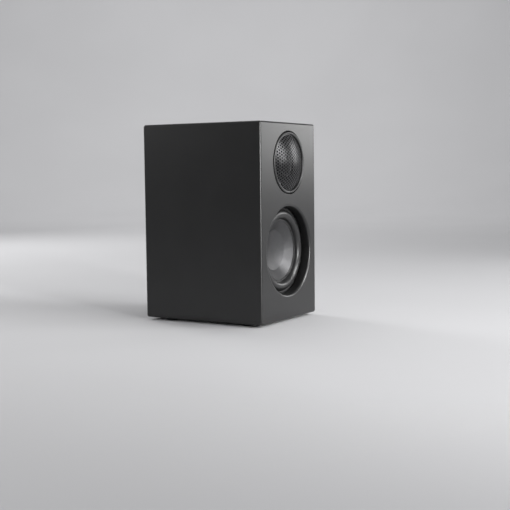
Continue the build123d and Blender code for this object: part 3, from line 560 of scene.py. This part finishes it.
def make_grille():
    """Domed metal sheet punched with rows of round holes, which its border cuts off."""
    pitch, hole, edge, sides = 3.4, 1.2, 0.05, 16
    sheet, bend, rim, border, rim_sides = 0.25, 0.1, 0.4, 0.3, 160
    front, outer = depth_of("tweeter_grille", 0), radius_of("tweeter_grille")
    dome = depth_of("tweeter_grille", 1) - sheet - front
    foot = outer - rim
    reach = foot - border
    ball = (foot**2 + dome**2) / (2 * dome)

    def depth(x, z):
        return front + ball - math.sqrt(ball**2 - x * x - z * z)

    places = hole_places(reach + hole / 2, pitch)
    flat = round_loop(0, 0, foot, rim_sides)
    areas = [list(range(rim_sides))]
    for x, z in places:
        areas.append(list(range(len(flat), len(flat) + sides)))
        flat += cut_loop(x, z, hole + edge, reach, sides)
    placed, _, made, source, _, origin = delaunay_2d_cdt([Vector(q) for q in flat], [], areas, 0, 1e-5)
    index = {given: k for k, sources in enumerate(source) for given in sources}
    total = len(placed)
    points = [(q.x, depth(q.x, q.y), q.y) for q in placed]
    points += [(q.x, depth(q.x, q.y) + sheet, q.y) for q in placed]
    faces = []
    for face, areas_of in zip(made, origin):
        if areas_of == [0]:
            faces.append(face)
            faces.append([i + total for i in face[::-1]])

    def wall(rings):
        for near, far in zip(rings, rings[1:]):
            for k in range(len(near)):
                n = (k + 1) % len(near)
                faces.append((near[k], far[k], far[n], near[n]))

    def added(loop):
        start = len(points)
        points.extend(loop)
        return list(range(start, len(points)))

    for (x, z), area in zip(places, areas[1:]):
        near = [index[i] for i in area]
        throat = added((p, depth(p, q) + edge, q) for p, q in cut_loop(x, z, hole, reach - edge, sides))
        wall([near, throat, [i + total for i in near]])
    near = [index[i] for i in areas[0]]
    rim_front = depth(foot, 0)
    rings = [near]
    for radius, d in (
        (outer - bend, rim_front), (outer, rim_front + bend), (outer, rim_front + sheet),
    ):
        rings.append(added((x, d, z) for x, z in round_loop(0, 0, radius, rim_sides)))
    rings.append([i + total for i in near])
    wall([ring[::-1] for ring in rings])
    verts = [(x * MM, FRONT + d * MM, TWEETER_Z + z * MM) for x, d, z in points]
    piece = finish_mesh("tweeter_grille_mesh", verts, faces, "grille_metal", 30)
    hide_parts("tweeter_grille")
    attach(piece, ROOT)


def rounded_block(low, high, radius, spacing, lump):
    """Soft block: a box with rounded edges and a gently uneven surface."""
    lumps_per_metre, level = 40, 0.6
    low, high = Vector(low), Vector(high)
    size = high - low
    verts, faces, index = [], [], {}

    def corner(spot):
        key = tuple(round(c, 6) for c in spot)
        if key not in index:
            core = Vector([
                min(max(c, start + radius), end - radius) for c, start, end in zip(spot, low, high)
            ])
            away = (Vector(spot) - core).normalized()
            swell = lump * (noise.noise(Vector(spot) * lumps_per_metre) - level)
            index[key] = len(verts)
            verts.append(tuple(core + away * (radius + swell)))
        return index[key]

    for axis in range(3):
        u, v = (axis + 1) % 3, (axis + 2) % 3
        nu, nv = (max(2, round(size[i] / spacing)) for i in (u, v))
        for end, flip in ((low[axis], True), (high[axis], False)):
            for i in range(nu):
                for j in range(nv):
                    quad = []
                    for a, b in ((i, j), (i + 1, j), (i + 1, j + 1), (i, j + 1)):
                        spot = [0.0, 0.0, 0.0]
                        spot[axis] = end
                        spot[u] = low[u] + size[u] * a / nu
                        spot[v] = low[v] + size[v] * b / nv
                        quad.append(corner(spot))
                    faces.append(quad[::-1] if flip else quad)
    return verts, faces


def make_pads():
    """Felt pads on the two side walls."""
    thickness, edge, spacing, lump = 0.009, 0.003, 0.0035, 0.0012
    low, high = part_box("damping_pads")
    for side, x0, x1 in (("left", low.x, low.x + thickness), ("right", high.x - thickness, high.x)):
        verts, faces = rounded_block((x0, low.y, low.z), (x1, high.y, high.z), edge, spacing, lump)
        piece = finish_mesh(f"damping_pad_{side}", verts, faces, "felt", 60)
        if side == "left":
            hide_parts("damping_pads")
        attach(piece, ROOT)


def screw_head(radius, height):
    """Pan head with a cross recess, its seat at y = 0 and its top towards +Y."""
    skirt = 0.35 * height
    slot_length, slot_depth, slot_width = 1.25 * radius, 0.55 * height, 0.3 * radius
    section = [(0.0, 0.0), (radius, 0.0), (radius, skirt)]
    section += [
        (radius * math.cos(a), skirt + (height - skirt) * math.sin(a))
        for a in (math.pi / 2 * k / 7 for k in range(1, 8))
    ]
    mesh = bpy.data.meshes.new("head")
    form = bmesh.new()
    spots = [form.verts.new((r, y, 0)) for r, y in section]
    edges = [form.edges.new(pair) for pair in zip(spots, spots[1:])]
    bmesh.ops.spin(
        form, geom=spots + edges, cent=(0, 0, 0), axis=(0, 1, 0),
        angle=2 * math.pi, steps=40, use_merge=True,
    )
    bmesh.ops.remove_doubles(form, verts=form.verts[:], dist=1e-6)
    bmesh.ops.recalc_face_normals(form, faces=form.faces[:])
    form.to_mesh(mesh)
    form.free()
    head = bpy.data.objects.new("head", mesh)
    scene.collection.objects.link(head)
    cutters = []
    for turn in (0, 90):
        form = bmesh.new()
        shape = Matrix.Translation((0, height, 0)) @ Matrix.Rotation(math.radians(turn), 4, "Y")
        bmesh.ops.create_cube(
            form, size=1.0, matrix=shape @ Matrix.Diagonal((slot_length, 2 * slot_depth, slot_width, 1))
        )
        cut_mesh = bpy.data.meshes.new("cut")
        form.to_mesh(cut_mesh)
        form.free()
        cutter = bpy.data.objects.new("cut", cut_mesh)
        scene.collection.objects.link(cutter)
        cut = head.modifiers.new("cut", "BOOLEAN")
        cut.operation = "DIFFERENCE"
        cut.solver = "EXACT"
        cut.object = cutter
        cutters.append(cutter)
    done = bpy.data.meshes.new_from_object(head.evaluated_get(bpy.context.evaluated_depsgraph_get()))
    verts = [v.co.copy() for v in done.vertices]
    faces = [list(f.vertices) for f in done.polygons]
    for piece in [head, *cutters]:
        data = piece.data
        bpy.data.objects.remove(piece)
        bpy.data.meshes.remove(data)
    bpy.data.meshes.remove(done)
    return verts, faces


def make_terminal_screws():
    """Screw heads at the corners of the terminal cup, each turned its own way."""
    radius, height, first_turn, more_turn = 0.0022, 0.0018, 17, 38
    low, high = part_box("terminal_screws")
    verts, faces = [], []
    head_verts, head_faces = screw_head(radius, height)
    for k, (x, z) in enumerate(
        (x, z) for x in (low.x + radius, high.x - radius) for z in (low.z + radius, high.z - radius)
    ):
        turn = Matrix.Rotation(math.radians(first_turn + more_turn * k), 4, "Y")
        start = len(verts)
        place = Vector((x, high.y - height, z))
        verts += [tuple(place + turn @ v) for v in head_verts]
        faces += [[i + start for i in f] for f in head_faces]
    piece = finish_mesh("terminal_screw_heads", verts, faces, "screw_steel", 35)
    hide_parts("terminal_screws")
    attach(piece, ROOT)


make_woofer_surround()
make_gasket("woofer_front_gasket", width=1.9, edge=0.6, steps=192)
make_gasket("woofer_rear_gasket", width=7.0, edge=0.25, steps=160)
make_dust_cap()
make_spider()
make_tweeter_diaphragm()
make_grille()
make_pads()
make_terminal_screws()


# Camera, placed and aimed as in the photograph

CAMERA_AT = Vector((-0.9783, FRONT - 0.5394, CABINET_BOTTOM + 0.1659))
YAW, PITCH, ROLL = 1.032, -0.0835, -0.0107
PHOTO_PIXELS, FOCAL_PIXELS = 510, 996.49
SENSOR_WIDTH = 36


def make_camera():
    """Camera at the photograph's place, turned by its yaw, pitch and roll."""
    ahead = Vector((
        math.sin(YAW) * math.cos(PITCH), math.cos(YAW) * math.cos(PITCH), math.sin(PITCH)
    ))
    right = ahead.cross(Vector((0, 0, 1))).normalized()
    up = right.cross(ahead)
    right, up = (
        math.cos(ROLL) * right + math.sin(ROLL) * up,
        math.cos(ROLL) * up - math.sin(ROLL) * right,
    )
    camera = bpy.data.objects.new("camera", bpy.data.cameras.new("camera"))
    scene.collection.objects.link(camera)
    camera.data.lens = FOCAL_PIXELS / PHOTO_PIXELS * SENSOR_WIDTH
    camera.data.sensor_width = SENSOR_WIDTH
    camera.data.clip_start = 0.01
    turn = Matrix((right, up, -ahead)).transposed()
    camera.matrix_world = Matrix.Translation(CAMERA_AT) @ turn.to_4x4()
    scene.camera = camera


# Stage

def make_sweep():
    """Pale floor that sweeps up into a backdrop behind the object and stays flat behind the camera."""
    floor_radius, cove, wall_top, steps, cove_steps = 2.6, 1.8, 4.5, 120, 16
    full_wall, no_wall = math.radians(90), math.radians(140)
    profile = [(radius, 0.0) for radius in (0.3, 0.9, 1.7)]
    for k in range(cove_steps + 1):
        a = math.pi / 2 * k / cove_steps
        profile.append((floor_radius + cove * math.sin(a), cove * (1 - math.cos(a))))
    profile.append((floor_radius + cove, wall_top))
    count = len(profile)
    verts, faces = [(0.0, 0.0, 0.0)], []
    for i in range(steps):
        turn = 2 * math.pi * i / steps
        off = abs((turn + math.pi) % (2 * math.pi) - math.pi)
        lift = eased(min(max((no_wall - off) / (no_wall - full_wall), 0), 1))
        heading = math.pi / 2 - YAW + turn
        verts += [(r * math.cos(heading), r * math.sin(heading), z * lift) for r, z in profile]
    for i in range(steps):
        k, n = 1 + i * count, 1 + (i + 1) % steps * count
        faces.append((0, k, n))
        faces += [(k + j, k + j + 1, n + j + 1, n + j) for j in range(count - 1)]
    paper = Shader("pale_paper", (0.52, 0.52, 0.53), 0.8)
    paper.tint(paper.ranged(paper.noise(0.5, 2.0), 0.0, 1.0), (0.54, 0.54, 0.55))
    mesh = bpy.data.meshes.new("sweep")
    mesh.from_pydata(verts, [], faces)
    mesh.polygons.foreach_set("use_smooth", [True] * len(mesh.polygons))
    mesh.materials.append(paper.material)
    sweep = bpy.data.objects.new("sweep", mesh)
    scene.collection.objects.link(sweep)


def make_world():
    """Even, weak light from all sides."""
    world = bpy.data.worlds.new("studio")
    world.use_nodes = True
    background = world.node_tree.nodes["Background"]
    background.inputs["Color"].default_value = (0.9, 0.9, 0.92, 1)
    background.inputs["Strength"].default_value = 0.25
    scene.world = world


def area_light(name, place, target, size, power, turn=0.0, spread=180):
    """Softbox of a width and height, turned about its own aim, with a spread in degrees."""
    light = bpy.data.lights.new(name, "AREA")
    light.energy = power
    light.shape = "RECTANGLE"
    light.size, light.size_y = size
    light.spread = math.radians(spread)
    lamp = bpy.data.objects.new(name, light)
    scene.collection.objects.link(lamp)
    lamp.location = place
    lamp.rotation_mode = "QUATERNION"
    aim = (Vector(target) - Vector(place)).to_track_quat("-Z", "Y")
    lamp.rotation_quaternion = aim @ Quaternion((0, 0, 1), math.radians(turn))


def make_lights():
    """Softboxes at the front and the sides, one behind, one above and one on the backdrop."""
    drivers = (0, FRONT, 0.13)
    area_light("softbox_right", (1.21, -0.61, 0.39), drivers, (0.4, 0.4), power=0.62, spread=80)
    area_light("softbox_front", (0.286, -1.241, 0.746), drivers, (0.35, 1.42), power=9, turn=50, spread=110)
    area_light("strip_left", (-0.63, -1.25, 0.32), drivers, (0.12, 0.4), power=1.3, spread=50)
    area_light("softbox_side", (-0.99, 1.07, 0.52), (0, 0, 0.15), (0.5, 0.4), power=1.4)
    area_light("softbox_back", (0.5, 1.4, 0.8), (0, 0, 0.12), (0.5, 0.5), power=9)
    area_light("overhead", (0.6, 0.6, 2.4), (0.6, 0.6, 0), (2.4, 2.4), power=16)
    area_light("backdrop_wash", (1.89, 1.13, 2.2), (3.43, 2.05, 0.5), (1.6, 1.0), power=40)


make_camera()
make_sweep()
make_world()
make_lights()
scene.view_settings.view_transform = "Standard"
